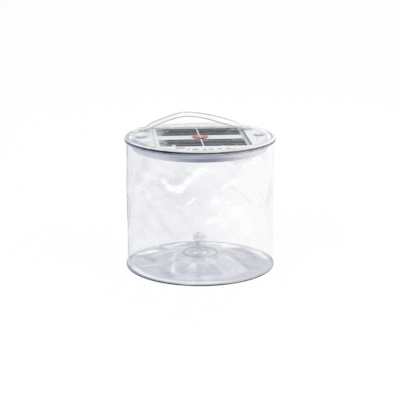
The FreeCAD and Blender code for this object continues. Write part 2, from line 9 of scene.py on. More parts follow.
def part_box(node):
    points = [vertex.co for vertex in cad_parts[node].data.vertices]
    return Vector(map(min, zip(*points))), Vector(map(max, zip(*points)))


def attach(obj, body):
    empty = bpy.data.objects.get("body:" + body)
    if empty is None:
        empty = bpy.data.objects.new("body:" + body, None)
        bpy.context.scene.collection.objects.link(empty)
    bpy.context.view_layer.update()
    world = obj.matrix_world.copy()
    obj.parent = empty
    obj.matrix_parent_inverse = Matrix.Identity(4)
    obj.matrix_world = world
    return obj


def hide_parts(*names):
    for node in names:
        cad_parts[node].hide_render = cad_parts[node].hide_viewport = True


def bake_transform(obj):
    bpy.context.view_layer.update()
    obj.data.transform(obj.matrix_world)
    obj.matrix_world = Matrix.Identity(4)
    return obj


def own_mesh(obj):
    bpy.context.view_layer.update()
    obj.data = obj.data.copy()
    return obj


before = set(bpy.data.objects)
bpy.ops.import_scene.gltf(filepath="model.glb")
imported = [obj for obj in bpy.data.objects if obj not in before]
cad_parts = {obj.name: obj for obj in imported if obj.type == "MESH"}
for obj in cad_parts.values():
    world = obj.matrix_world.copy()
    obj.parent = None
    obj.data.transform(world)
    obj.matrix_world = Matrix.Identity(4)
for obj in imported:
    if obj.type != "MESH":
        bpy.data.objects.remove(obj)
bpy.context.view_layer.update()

scene = bpy.context.scene
MM = 0.001


# Shader helpers

class Shader:
    """A material under construction. Positions are in metres, in the frame's own axes."""

    def __init__(self, name):
        self.material = bpy.data.materials.new(name)
        self.material.use_nodes = True
        self.tree = self.material.node_tree
        self.tree.nodes.clear()
        self.output = self.add("ShaderNodeOutputMaterial")
        coordinates = self.add("ShaderNodeTexCoord").outputs
        self.place, self.normal = coordinates["Object"], coordinates["Normal"]

    def add(self, kind, **settings):
        node = self.tree.nodes.new(kind)
        for name, value in settings.items():
            setattr(node, name, value)
        return node

    def feed(self, socket, value):
        """A number, a colour or another node's output goes into a socket."""
        if isinstance(value, bpy.types.NodeSocket):
            self.tree.links.new(value, socket)
        elif isinstance(value, (tuple, list)) and socket.type == "RGBA":
            socket.default_value = (*value[:3], 1.0)
        else:
            socket.default_value = value

    def math(self, operation, a, b=0.0, clamp=False):
        node = self.add("ShaderNodeMath", operation=operation, use_clamp=clamp)
        self.feed(node.inputs[0], a)
        self.feed(node.inputs[1], b)
        return node.outputs[0]

    def times(self, a, b, clamp=False):
        return self.math("MULTIPLY", a, b, clamp)

    def plus(self, a, b, clamp=False):
        return self.math("ADD", a, b, clamp)

    def minus(self, a, b, clamp=False):
        return self.math("SUBTRACT", a, b, clamp)

    def most(self, a, b):
        return self.math("MAXIMUM", a, b)

    def reach(self, x, y):
        """Distance in plan from the point that x and y are counted from."""
        return self.math("SQRT", self.plus(self.times(x, x), self.times(y, y)))

    def stretched(self, x, y, z):
        node = self.add("ShaderNodeVectorMath", operation="MULTIPLY")
        self.feed(node.inputs[0], self.place)
        node.inputs[1].default_value = (x, y, z)
        return node.outputs[0]

    def noise(self, scale, detail=3.0, stretch=(1, 1, 1), distort=0.0):
        node = self.add("ShaderNodeTexNoise")
        self.feed(node.inputs["Vector"], self.stretched(*stretch))
        node.inputs["Scale"].default_value = scale
        node.inputs["Detail"].default_value = detail
        node.inputs["Distortion"].default_value = distort
        return node.outputs["Fac"]

    def cracks(self, scale, stretch):
        node = self.add("ShaderNodeTexVoronoi")
        self.feed(node.inputs["Vector"], self.stretched(*stretch))
        node.inputs["Scale"].default_value = scale
        return node.outputs["Distance"]

    def axis(self, name):
        node = self.add("ShaderNodeSeparateXYZ")
        self.feed(node.inputs[0], self.place)
        return node.outputs[name]

    def span(self, value, low, high, to_low=0.0, to_high=1.0):
        """Maps low..high to 0..1 (or to other limits), smoothly and clamped."""
        node = self.add("ShaderNodeMapRange", interpolation_type="SMOOTHSTEP")
        self.feed(node.inputs["Value"], value)
        node.inputs["From Min"].default_value = low
        node.inputs["From Max"].default_value = high
        node.inputs["To Min"].default_value = to_low
        node.inputs["To Max"].default_value = to_high
        return node.outputs["Result"]

    def ramp(self, value, *stops):
        """Colours along a value: (position, colour) pairs."""
        node = self.add("ShaderNodeValToRGB")
        self.feed(node.inputs["Fac"], value)
        elements = node.color_ramp.elements
        while len(elements) < len(stops):
            elements.new(1.0)
        for element, (position, colour) in zip(elements, stops):
            element.position = position
            element.color = (*colour, 1.0)
        return node.outputs["Color"]

    def mix(self, share, a, b):
        node = self.add("ShaderNodeMix", data_type="RGBA")
        self.feed(node.inputs["Factor"], share)
        self.feed(node.inputs[6], a)
        self.feed(node.inputs[7], b)
        return node.outputs[2]

    def field(self, name):
        return self.add("ShaderNodeAttribute", attribute_name=name).outputs["Fac"]

    def bump(self, height, strength, distance):
        node = self.add("ShaderNodeBump")
        self.feed(node.inputs["Height"], height)
        node.inputs["Strength"].default_value = strength
        node.inputs["Distance"].default_value = distance
        return node.outputs["Normal"]

    def facing(self):
        """From 0 where the surface faces the viewer to 1 where it is seen edge on."""
        node = self.add("ShaderNodeLayerWeight")
        node.inputs["Blend"].default_value = 0.5
        return node.outputs["Facing"]

    def surface(self, colour, roughness, normal=None, share=None, **sockets):
        """A Principled surface. With a share it lets the rest of the light straight through."""
        body = self.add("ShaderNodeBsdfPrincipled")
        self.feed(body.inputs["Base Color"], colour)
        self.feed(body.inputs["Roughness"], roughness)
        for name, value in sockets.items():
            self.feed(body.inputs[name.replace("_", " ")], value)
        if normal is not None:
            self.feed(body.inputs["Normal"], normal)
        result = body.outputs[0]
        if share is not None:
            clear = self.add("ShaderNodeBsdfTransparent")
            both = self.add("ShaderNodeMixShader")
            self.feed(both.inputs[0], share)
            self.feed(both.inputs[1], clear.outputs[0])
            self.feed(both.inputs[2], result)
            result = both.outputs[0]
        self.feed(self.output.inputs["Surface"], result)
        return self.material


# Materials

LILAC = (0.42, 0.44, 0.54)
PALE = (0.96, 0.97, 1.0)
BUTTON_X = 0.0496  # middle of each button from the head's middle
FLANGE_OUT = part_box("valve_flange")[1][0]


def clear_film(name, haze, edge, shade, roughness=0.12, grain=45.0, whiten=0.6, right=1.0):
    """Clear plastic film or moulding. Its point field paints a highlight above 0 and paints shade
    below 0.
    """
    s = Shader(name)
    cloud = s.noise(grain, 4.0, distort=0.6)
    fold_light_shade = s.field("fold_light_shade")
    # white is the painted highlight and grey the painted shade, both from the point field read
    # above.
    white = s.most(fold_light_shade, 0.0)
    grey = s.most(s.times(fold_light_shade, -1.0), 0.0)
    tone = s.plus(s.span(cloud, 0.35, 0.7, 0.0, 0.35), s.times(white, 2.5), clamp=True)
    tone = s.minus(tone, s.times(grey, 0.5), clamp=True)
    colour = s.mix(tone, shade, PALE)
    share = s.span(cloud, 0.3, 0.75, haze[0], haze[1])
    share = s.plus(share, s.times(s.math("POWER", s.facing(), 7.0), edge))
    share = s.plus(share, s.times(grey, 0.25))
    # Painted light: the haze is scaled towards +X by right, so with right below 1 the film is
    # clearer and lighter on its right side.
    share = s.times(share, s.span(s.axis("X"), -0.02, 0.045, 1.0, right))
    # Painted shade: more haze where the film is seen edge on at its left (-X) side.
    left = s.span(s.axis("X"), -0.030, -0.055, 0.0, 1.1 * edge)
    share = s.plus(share, s.times(s.span(s.facing(), 0.76, 0.88), left))
    share = s.plus(share, s.times(white, whiten), clamp=True)
    ripple = s.bump(s.noise(160.0, 3.0), 0.25, 0.0006)
    return s.surface(colour, roughness, ripple, share, Specular_IOR_Level=0.7)


wall_film = clear_film("wall_film", (0.085, 0.175), 0.55, LILAC, 0.22, right=0.22)
# Painted shade: the bottom film is hazy and grey for the shadowed table under the lantern, a
# little more so towards +X.
floor_film = clear_film(
    "floor_film", (0.46, 0.68), 0.1, (0.34, 0.355, 0.45), whiten=0.40, right=1.10)
valve_clear = clear_film("valve_clear", (0.04, 0.11), 0.5, (0.42, 0.44, 0.52), 0.2, 220.0)
cover_clear = clear_film("cover_clear", (0.18, 0.32), 0.4, (0.50, 0.52, 0.60), 0.25, 150.0)


def rim_dark_reflection(s):
    """Painted dark reflections along the weld: navy at the left, then near black, grey-brown at
    the right.
    """
    return s.ramp(
        s.span(s.axis("X"), -0.062, 0.050),
        (0.00, (0.060, 0.085, 0.170)), (0.05, (0.030, 0.036, 0.060)),
        (0.10, (0.006, 0.007, 0.010)), (0.22, (0.006, 0.007, 0.010)),
        (0.34, (0.050, 0.050, 0.056)), (0.65, (0.060, 0.056, 0.056)),
        (1.00, (0.20, 0.175, 0.165)),
    )


def flange_material():
    """Clear welded disc with fine ribs that run out from the stem and a greyish edge ring."""
    s = Shader("flange_clear")
    x, y = s.axis("X"), s.axis("Y")
    reach = s.reach(x, y)
    edge = s.span(reach, FLANGE_OUT - 0.0012, FLANGE_OUT - 0.0007)
    inner = s.times(s.span(reach, 0.0066, 0.0072), s.span(reach, 0.0088, 0.0080))
    wave = s.math("SINE", s.times(s.math("ARCTAN2", y, x), 22.0))
    rib = s.times(s.span(wave, 0.35, 0.85, 0.0, 0.6), s.span(reach, 0.0075, 0.0090))
    cloud = s.noise(240.0, 3.0)
    dark = s.most(s.most(edge, inner), s.times(rib, s.span(cloud, 0.3, 0.6)))
    pale = s.mix(s.span(cloud, 0.3, 0.7), (0.86, 0.87, 0.90), PALE)
    colour = s.mix(dark, pale, (0.16, 0.17, 0.20))
    share = s.plus(s.span(cloud, 0.3, 0.7, 0.04, 0.09), s.times(dark, 0.07))
    share = s.plus(share, s.times(edge, 0.16), clamp=True)
    return s.surface(colour, 0.2, s.bump(wave, 0.2, 0.0004), share, Specular_IOR_Level=0.6)


def stem_material():
    """Clear valve stem: whitish upright ribs, and grey streaks of painted shade, stronger on its
    left side.
    """
    s = Shader("stem_clear")
    x, y = s.axis("X"), s.axis("Y")
    wave = s.math("SINE", s.times(s.math("ARCTAN2", y, x), 14.0))
    streak = s.noise(260.0, 4.0, (1.0, 1.0, 0.45), 0.6)
    # Painted shade: the grey is stronger on the stem's left (-X) side.
    left = s.span(x, 0.0030, -0.0030, 0.25, 0.9)
    grey = s.times(s.most(s.span(streak, 0.52, 0.62), s.span(wave, 0.3, 0.9, 0.0, 0.30)), left)
    colour = s.mix(grey, (0.98, 0.985, 0.99), (0.28, 0.30, 0.31))
    share = s.plus(s.span(streak, 0.3, 0.7, 0.13, 0.19), s.times(grey, 0.13))
    return s.surface(colour, 0.2, s.bump(wave, 0.3, 0.0004), share, Specular_IOR_Level=0.6)


def top_material():
    """Film over the head: clear over the panel, whitish near the rim, a ring of painted shade at
    each button, painted shade at its left end and painted dark reflections along the rim's inside.
    """
    s = Shader("top_cover_film")
    x, y = s.axis("X"), s.axis("Y")
    reach = s.reach(x, y)
    dx = s.minus(s.math("ABSOLUTE", x), BUTTON_X)
    from_button = s.reach(dx, y)
    # Painted shade: a ring on the film around each button hole.
    ring = s.times(s.span(from_button, 0.0040, 0.0043), s.span(from_button, 0.0054, 0.0048))
    cloud = s.noise(60.0, 4.0)
    band = s.span(reach, 0.0540, 0.0560, 0.0, 0.62)
    pale = s.mix(s.span(cloud, 0.3, 0.7), (0.70, 0.705, 0.72), (0.93, 0.93, 0.94))
    # Painted shade: blotchy grey at the left end.
    shade_patches = s.span(s.noise(110.0, 4.0, distort=0.8), 0.42, 0.62)
    side = s.times(s.span(x, -0.0385, -0.0400), shade_patches)
    pale = s.mix(side, pale, (0.34, 0.36, 0.40))
    colour = s.mix(ring, pale, (0.36, 0.38, 0.48))
    share = s.plus(s.span(cloud, 0.4, 0.8, 0.0, 0.03), s.most(band, s.times(side, 0.22)))
    share = s.plus(share, s.times(ring, 0.5), clamp=True)
    # Painted dark reflection: a tinted margin along the rim's inside at the front, bluer at the
    # left.
    front = s.span(y, -0.004, 0.030, 1.0, 0.10)
    margin = s.times(s.times(s.span(reach, 0.0606, 0.0612), front), s.span(y, -0.058, -0.045))
    tint = s.mix(s.span(x, -0.0605, -0.0560), (0.30, 0.37, 0.55), (0.95, 0.95, 0.96))
    colour = s.mix(margin, colour, tint)
    share = s.most(share, s.times(margin, 0.85))
    # Painted dark reflection: a dark line along the rim's inside at the front.
    line = s.times(s.span(reach, 0.0595, 0.0600), s.span(reach, 0.0612, 0.0607))
    line = s.times(line, s.span(y, -0.036, -0.018, 0.10, 1.0))
    line = s.times(line, s.times(front, s.span(s.noise(45.0, 3.0), 0.25, 0.5, 0.55, 1.0)))
    colour = s.mix(line, colour, rim_dark_reflection(s))
    share = s.most(share, s.times(line, 0.95))
    ripple = s.bump(s.noise(200.0, 3.0), 0.25, 0.0004)
    return s.surface(colour, 0.15, ripple, share, Specular_IOR_Level=0.5)


def bead_material():
    """Thick clear weld with a painted dark reflection line (field "line") and a painted highlight
    on its shoulder (field "white").
    """
    s = Shader("weld_bead")
    patch = s.noise(28.0, 3.0)
    fine = s.noise(70.0, 3.0)
    # Painted reflection: the dark line fades out towards the back (+Y).
    back = s.span(s.axis("Y"), -0.006, 0.034, 1.0, 0.06)
    crisp = s.plus(s.field("line"), s.span(fine, 0.3, 0.7, -0.10, 0.14))
    crisp = s.span(crisp, 0.22, 0.60)
    line = s.times(crisp, back)
    shoulder = s.field("white")
    dark = rim_dark_reflection(s)
    # Painted light and shade: the clear colour is bluer at the left and greyer towards the right.
    clear = s.mix(s.span(patch, 0.3, 0.7), (0.24, 0.30, 0.47), (0.55, 0.60, 0.74))
    clear = s.mix(s.span(s.axis("X"), -0.045, 0.000), clear, (0.58, 0.58, 0.62))
    colour = s.mix(line, s.mix(shoulder, clear, (0.90, 0.90, 0.93)), dark)
    # Painted shade: hazier towards the left.
    left = s.span(s.axis("X"), -0.060, -0.020, 0.30, 0.0)
    haze = s.plus(s.span(patch, 0.3, 0.7, 0.22, 0.50), left)
    share = s.most(s.most(haze, s.times(line, 0.96)), s.times(shoulder, 0.75))
    # Painted reflection: the whole bead clears towards the back.
    share = s.times(share, s.span(s.axis("Y"), 0.004, 0.04, 1.0, 0.12), clamp=True)
    ripple = s.bump(s.noise(300.0, 2.0), 0.2, 0.0004)
    return s.surface(colour, 0.14, ripple, share, Specular_IOR_Level=0.15)


def strap_material():
    """Clear strap with a greyish welded edge, field "line"."""
    s = Shader("strap_clear")
    line = s.field("line")
    cloud = s.noise(90.0, 4.0, distort=0.4)
    edge_tone = s.mix(s.span(cloud, 0.3, 0.7), (0.17, 0.18, 0.19), (0.38, 0.39, 0.41))
    body = s.mix(s.span(cloud, 0.35, 0.65), (0.62, 0.61, 0.57), (0.88, 0.88, 0.86))
    colour = s.mix(line, body, edge_tone)
    share = s.plus(s.span(cloud, 0.3, 0.7, 0.14, 0.32), s.times(line, 0.60), clamp=True)
    ripple = s.bump(s.noise(400.0, 2.0), 0.3, 0.0004)
    return s.surface(colour, 0.18, ripple, share, Specular_IOR_Level=0.4)


def head_material():
    """Head housing: white on top; down its side lilac-blue bands of painted shade with a painted
    highlight streak, painted lighter towards both ends.
    """
    s = Shader("head_housing")
    x = s.axis("X")
    streak = s.noise(30.0, 5.0, (0.6, 0.6, 12.0), 0.5)
    level = s.plus(s.span(s.axis("Z"), 0.1012, 0.1110), s.span(streak, 0.25, 0.75, -0.20, 0.20))
    # Painted shade and light by height: dark lilac-blue bands and a pale highlight streak.
    side = s.ramp(
        level,
        (0.00, (0.26, 0.26, 0.30)), (0.12, (0.22, 0.24, 0.31)), (0.31, (0.27, 0.30, 0.41)),
        (0.47, (0.62, 0.65, 0.74)), (0.64, (0.38, 0.39, 0.44)), (1.00, (0.30, 0.30, 0.33)),
    )
    # Painted light: the side is lighter towards +X and towards -X.
    side = s.mix(s.span(x, 0.000, 0.045, 0.0, 0.84), side, (0.92, 0.92, 0.95))
    side = s.mix(s.span(x, -0.004, -0.043, 0.0, 0.90), side, (0.80, 0.83, 0.90))
    fine = s.noise(220.0, 3.0)
    top = s.mix(s.span(fine, 0.3, 0.7), (0.66, 0.665, 0.68), (0.80, 0.80, 0.81))
    up = s.add("ShaderNodeSeparateXYZ")
    s.feed(up.inputs[0], s.normal)
    reach = s.reach(x, s.axis("Y"))
    upper = s.most(s.span(up.outputs["Z"], 0.3, 0.8), s.span(reach, 0.0562, 0.0556))
    colour = s.mix(upper, side, top)
    rough = s.span(fine, 0.3, 0.7, 0.36, 0.5)
    grain = s.bump(s.noise(900.0, 2.0), 0.15, 0.0002)
    return s.surface(colour, rough, grain, Specular_IOR_Level=0.3)


def cell_material():
    """Charcoal silicon with painted crystal glints, a painted glare patch and fine grid lines,
    lighter at its left end.
    """
    s = Shader("solar_silicon")
    grain = s.cracks(240.0, (1.0, 1.0, 0.0))
    glint_fleck = s.noise(120.0, 5.0, (0.8, 0.55, 0.0), 1.2)
    base = s.mix(s.span(grain, 0.1, 0.9), (0.075, 0.077, 0.085), (0.125, 0.125, 0.130))
    base = s.mix(s.span(s.noise(22.0, 2.0), 0.42, 0.65), base, (0.135, 0.124, 0.134))
    # Painted glints: sparse pale flecks.
    base = s.mix(s.span(glint_fleck, 0.61, 0.67), base, (0.66, 0.67, 0.68))
    lighter_left_end = s.times(s.span(s.axis("X"), -0.0255, -0.0350), s.span(s.noise(70.0, 4.0), 0.32, 0.52))
    # Painted glare: a pale patch at the back right.
    glare = s.times(s.span(s.axis("X"), 0.020, 0.031), s.span(s.axis("Y"), 0.010, 0.018))
    glare = s.times(glare, s.span(s.noise(120.0, 4.0), 0.48, 0.60))
    base = s.mix(s.most(lighter_left_end, glare), base, (0.46, 0.50, 0.51))
    lines = s.add("ShaderNodeTexWave", bands_direction="X", wave_profile="SIN")
    s.feed(lines.inputs["Vector"], s.place)
    lines.inputs["Scale"].default_value = 160.0
    colour = s.mix(s.span(lines.outputs["Fac"], 0.93, 1.0, 0.0, 0.25), base, (0.30, 0.31, 0.33))
    return s.surface(colour, 0.5, Specular_IOR_Level=0.0)


def board_material():
    """Pale woven board of the panel, painted lighter along its left edge and with painted shade
    along its right.
    """
    s = Shader("panel_board")
    weave = s.add("ShaderNodeTexChecker")
    s.feed(weave.inputs["Vector"], s.place)
    weave.inputs["Scale"].default_value = 1600.0
    weave.inputs["Color1"].default_value = (0.66, 0.72, 0.77, 1.0)
    weave.inputs["Color2"].default_value = (0.72, 0.77, 0.82, 1.0)
    worn = s.span(s.noise(60.0, 4.0), 0.35, 0.7, 0.0, 0.7)
    colour = s.mix(worn, weave.outputs["Color"], (0.74, 0.78, 0.82))
    x = s.axis("X")
    # Painted light at the left edge and painted shade at the right edge.
    colour = s.mix(s.span(x, -0.0345, -0.0362, 0.0, 0.85), colour, (0.76, 0.77, 0.78))
    colour = s.mix(s.span(x, 0.0345, 0.0362, 0.0, 0.85), colour, (0.50, 0.51, 0.53))
    grain = s.bump(weave.outputs["Fac"], 0.2, 0.0001)
    return s.surface(colour, 0.5, grain, Specular_IOR_Level=0.05)


def resin_material():
    """Clear cover cast over the cells, with painted shade along its right edge and weaker along
    its left.
    """
    s = Shader("panel_resin")
    x = s.axis("X")
    # Painted shade: the right edge at full strength, the left at a quarter.
    right = s.span(x, 0.0380, 0.0386)
    left = s.times(s.span(x, -0.0380, -0.0386), 0.25)
    edge = s.plus(right, left, clamp=True)
    cloud = s.noise(80.0, 4.0)
    clear = s.mix(s.span(cloud, 0.3, 0.7), (0.75, 0.78, 0.82), PALE)
    colour = s.mix(edge, clear, (0.07, 0.075, 0.08))
    share = s.plus(s.span(cloud, 0.4, 0.8, 0.0, 0.04), s.times(edge, 0.8), clamp=True)
    ripple = s.bump(s.noise(240.0, 3.0), 0.15, 0.0003)
    return s.surface(colour, 0.1, ripple, share, Specular_IOR_Level=0.6)


def mottled(name, low, high, scale, roughness, bump=0.2, depth=0.0003, **sockets):
    """A plain moulded or coated finish with colour and gloss that vary a little."""
    s = Shader(name)
    cloud = s.noise(scale, 4.0)
    colour = s.mix(s.span(cloud, 0.3, 0.7), low, high)
    rough = s.span(cloud, 0.25, 0.75, roughness - 0.06, roughness + 0.08)
    return s.surface(colour, rough, s.bump(s.noise(scale * 4.0, 3.0), bump, depth), **sockets)


def red_material():
    """Red disc, with the pale gap between the cells showing through its middle."""
    s = Shader("red_ink")
    cloud = s.noise(500.0, 4.0)
    red = s.mix(s.span(cloud, 0.3, 0.75), (0.42, 0.036, 0.052), (0.55, 0.11, 0.125))
    gap = s.span(s.math("ABSOLUTE", s.axis("X")), 0.0007, 0.0004)
    colour = s.mix(s.times(gap, 0.55), red, (0.85, 0.80, 0.80))
    return s.surface(colour, 0.35, s.bump(cloud, 0.2, 0.0001))


def board_traces():
    """White solder mask with copper tracks showing through."""
    s = Shader("circuit_mask")
    tracks = s.add("ShaderNodeTexBrick")
    s.feed(tracks.inputs["Vector"], s.place)
    tracks.inputs["Scale"].default_value = 130.0
    tracks.inputs["Mortar Size"].default_value = 0.035
    tracks.inputs["Color1"].default_value = (0.80, 0.82, 0.82, 1.0)
    tracks.inputs["Color2"].default_value = (0.76, 0.79, 0.78, 1.0)
    tracks.inputs["Mortar"].default_value = (0.62, 0.66, 0.60, 1.0)
    haze = s.span(s.noise(90.0, 3.0), 0.4, 0.8, 0.0, 0.3)
    colour = s.mix(haze, tracks.outputs["Color"], (0.86, 0.86, 0.84))
    return s.surface(colour, 0.42, s.bump(tracks.outputs["Fac"], 0.3, 0.0001))


def button_material(name, x):
    """Soft clear button with a blue-grey ring of painted shade near its edge."""
    s = Shader(name)
    dx = s.minus(s.axis("X"), x)
    reach = s.reach(dx, s.axis("Y"))
    ring = s.times(s.span(reach, 0.0018, 0.0026), s.span(reach, 0.0038, 0.0031, 0.3, 1.0))
    cloud = s.noise(420.0, 3.0)
    pale = s.mix(s.span(cloud, 0.3, 0.7), (0.30, 0.33, 0.43), (0.56, 0.59, 0.69))
    colour = s.mix(s.times(ring, s.span(cloud, 0.2, 0.7, 0.45, 1.0)), pale, (0.12, 0.14, 0.23))
    return s.surface(colour, 0.3, s.bump(cloud, 0.2, 0.0002), Specular_IOR_Level=0.6)


def lead_material():
    """Wire sleeves, red on one side of the head and black on the other."""
    s = Shader("lead_sleeve")
    sides = s.span(s.plus(s.axis("X"), s.axis("Y")), -0.031, 0.031)
    colour = s.mix(s.math("ROUND", sides), (0.05, 0.05, 0.055), (0.55, 0.05, 0.05))
    colour = s.mix(s.span(s.noise(600.0, 2.0), 0.4, 0.7, 0.0, 0.3), colour, (0.35, 0.30, 0.30))
    return s.surface(colour, 0.45)


bead = bead_material()
top_cover_film = top_material()
resin = resin_material()
strap_clear = strap_material()
finishes = {
    "head_upper_shell": head_material(),
    "head_bottom_cover": cover_clear,
    "solar_board": board_material(),
    "solar_cells": cell_material(),
    "solar_contact_strips": mottled(
        "tinned_strip", (0.13, 0.13, 0.14), (0.24, 0.24, 0.25), 300.0, 0.42, Metallic=0.3),
    "red_disc": red_material(),
    "circuit_board": board_traces(),
    "light_emitters": mottled(
        "emitter_lens", (0.82, 0.70, 0.30), (0.90, 0.84, 0.62), 700.0, 0.25, Coat_Weight=0.4),
    "battery_cell": mottled(
        "battery_foil", (0.50, 0.52, 0.55), (0.70, 0.71, 0.73), 120.0, 0.35, 0.5, 0.0006,
        Metallic=0.5),
    "battery_foam_pad": mottled(
        "foam", (0.05, 0.05, 0.055), (0.13, 0.13, 0.14), 1200.0, 0.85, 0.9, 0.0008),
    "battery_leads": lead_material(),
    "housing_screws": mottled(
        "zinc_screw", (0.42, 0.42, 0.43), (0.62, 0.62, 0.64), 900.0, 0.32, 0.4, 0.0001,
        Metallic=0.9),
    "power_button": button_material("power_button_clear", -BUTTON_X),
    "level_button": button_material("level_button_clear", BUTTON_X),
    "switch_bodies": mottled(
        "switch_plastic", (0.035, 0.035, 0.04), (0.08, 0.08, 0.09), 500.0, 0.42),
    "power_switch_plunger": mottled(
        "plunger_plastic", (0.62, 0.60, 0.56), (0.76, 0.74, 0.70), 600.0, 0.45),
    "charge_light_chips": mottled(
        "chip_package", (0.70, 0.68, 0.50), (0.82, 0.82, 0.74), 900.0, 0.35, Coat_Weight=0.3),
    "charge_light_pipes": mottled(
        "light_pipe_acrylic", (0.16, 0.16, 0.22), (0.32, 0.32, 0.40), 600.0, 0.22),
    "valve_flange": flange_material(),
    "valve_stem": stem_material(),
    "valve_cap": valve_clear,
    "valve_cap_tether": valve_clear,
    "valve_flap": mottled("silicone_flap", (0.78, 0.78, 0.80), (0.90, 0.90, 0.92), 500.0, 0.5),
    "strap_weld_tab_left": strap_clear,
    "strap_weld_tab_right": strap_clear,
}
finishes["solar_leads"] = finishes["battery_leads"]
finishes["level_switch_plunger"] = finishes["power_switch_plunger"]
for node, finish in finishes.items():
    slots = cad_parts[node].material_slots
    for material_slot in slots:
        material_slot.material = finish
    if not slots:
        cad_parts[node].data.materials.append(finish)


# Mesh helpers

def piece(name, verts, faces, material, fields=None):
    """A smooth mesh, given in millimetres, with number fields on its points."""
    mesh = bpy.data.meshes.new(name)
    mesh.from_pydata([tuple(c * MM for c in v) for v in verts], [], faces)
    mesh.polygons.foreach_set("use_smooth", [True] * len(mesh.polygons))
    for field, values in (fields or {}).items():
        data = mesh.attributes.new(field, "FLOAT", "POINT").data
        data.foreach_set("value", [float(v) for v in values])
    mesh.materials.append(material)
    obj = bpy.data.objects.new(name, mesh)
    scene.collection.objects.link(obj)
    return obj


def grid_faces(rows, columns, close_rows=False):
    """Faces between rings of points that each close on themselves."""
    faces = []
    for i in range(rows if close_rows else rows - 1):
        for j in range(columns):
            a, b = i * columns, ((i + 1) % rows) * columns
            k = (j + 1) % columns
            faces.append((a + j, a + k, b + k, b + j))
    return faces


def nearest(u, v, points):
    """Distance from each (u, v) to a line through the points."""
    found = np.full(u.shape, 1e9)
    for (u0, v0), (u1, v1) in zip(points[:-1], points[1:]):
        du, dv = u1 - u0, v1 - v0
        t = np.clip(((u - u0) * du + (v - v0) * dv) / (du * du + dv * dv), 0.0, 1.0)
        found = np.minimum(found, np.hypot(u - u0 - t * du, v - v0 - t * dv))
    return found


def smooth_line(points, steps=8):
    """A smooth line through a few chosen points."""
    ends = [points[0]] + list(points) + [points[-1]]
    line = []
    for a, b, c, d in zip(ends[:-3], ends[1:-2], ends[2:-1], ends[3:]):
        for k in range(steps):
            t = k / steps
            line.append(tuple(
                0.5 * (2 * q + (r - p) * t + (2 * p - 5 * q + 4 * r - w) * t * t
                       + (3 * q - p - 3 * r + w) * t ** 3)
                for p, q, r, w in zip(a, b, c, d)
            ))
    return line + [tuple(points[-1])]


def cloudiness(points, scale, seed):
    """Smooth values from -1 to 1, one for each point."""
    shift = Vector((seed, 2.0 * seed, 3.0 * seed))
    return np.array([noise.noise(Vector(p) * scale + shift) for p in points])


def rounded_section(r0, r1, z0, z1, rounding, steps=6):
    """Points around a rectangle with rounded corners, as (radius, height)."""
    corners = [(r1, z1, 0), (r0, z1, 90), (r0, z0, 180), (r1, z0, 270)]
    points = []
    for r, z, start in corners:
        cr = r - math.copysign(rounding, r - (r0 + r1) / 2)
        cz = z - math.copysign(rounding, z - (z0 + z1) / 2)
        for k in range(steps + 1):
            turn = math.radians(start + 90 * k / steps)
            points.append((cr + rounding * math.cos(turn), cz + rounding * math.sin(turn)))
    return points


BEAD_TURNS = 288


def lathe(name, section, material, shades):
    """A closed section turned around Z. shades(r, z) gives its painted dark reflection line and a
    painted highlight on its shoulder.
    """
    verts, lines, whites = [], [], []
    for r, z in section:
        line, white = shades(r, z)
        for k in range(BEAD_TURNS):
            a = math.tau * k / BEAD_TURNS
            verts.append((r * math.cos(a), r * math.sin(a), z))
            lines.append(line)
            whites.append(white)
    faces = grid_faces(len(section), BEAD_TURNS, True)
    return piece(name, verts, faces, material, {"line": lines, "white": whites})


def corner_of(node, high=True):
    return [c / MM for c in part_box(node)[1 if high else 0]]


# Rim and base beads

RIM_WIDTH = 2.8
RIM_ROUNDING = 0.9
RIM_LINE_DROP = 0.95  # middle of the rim's painted dark reflection line below its top
RIM_LINE_SPREAD = 0.75  # square of a dark line's reach
LOWER_LINE_INSET = 0.2
LOWER_LINE_SPREAD = 0.20
LOWER_LINE_SHARE = 0.6
SHOULDER_DEPTH = 0.4
BASE_ROUNDING = 0.5
BASE_LINE_RISE = 0.55  # middle of the base's painted dark reflection line above the table
BASE_LINE_INSET = 0.1
BASE_LINE_SPREAD = 0.62
rim_out, _, rim_top = corner_of("top_weld_bead")
rim_low = corner_of("top_weld_bead", False)[2]
rim_in = rim_out - RIM_WIDTH
film_out, _, film_top = corner_of("top_film")
base_out, _, base_top = corner_of("base_weld_bead")
base_in = corner_of("bottom_film")[0]


def rim_shades(r, z):
    """Painted dark reflection outside below the top edge, weaker along the lower edge, and a
    painted highlight on top.
    """
    upper = (r - rim_out) ** 2 + (z - rim_top + RIM_LINE_DROP) ** 2
    lower = (r - rim_out + LOWER_LINE_INSET) ** 2 + (z - rim_low - LOWER_LINE_INSET) ** 2
    line = math.exp(-upper / RIM_LINE_SPREAD)
    line += LOWER_LINE_SHARE * math.exp(-lower / LOWER_LINE_SPREAD)
    white = min(1.0, max(0.0, (z - rim_top + SHOULDER_DEPTH) / SHOULDER_DEPTH))
    return min(1.0, line), white


def base_shades(r, z):
    """Painted dark reflection at the outside just above the table."""
    away = (r - base_out + BASE_LINE_INSET) ** 2 + (z - BASE_LINE_RISE) ** 2
    return math.exp(-away / BASE_LINE_SPREAD), 0.0


rim_section = rounded_section(rim_in, rim_out, rim_low, film_top - 0.1, RIM_ROUNDING, 8)
low_side, high_side = rim_section[-1][1], rim_section[0][1]
rim_section += [(rim_out, low_side + (high_side - low_side) * k / 6) for k in range(1, 6)]
rim = lathe("rim_bead", rim_section, bead, rim_shades)
base_section = rounded_section(base_in, base_out, 0.0, base_top, BASE_ROUNDING)
base = lathe("base_bead", base_section, bead, base_shades)


# Wall: a sleeve of film with the soft dents and creases of a bag that has been folded

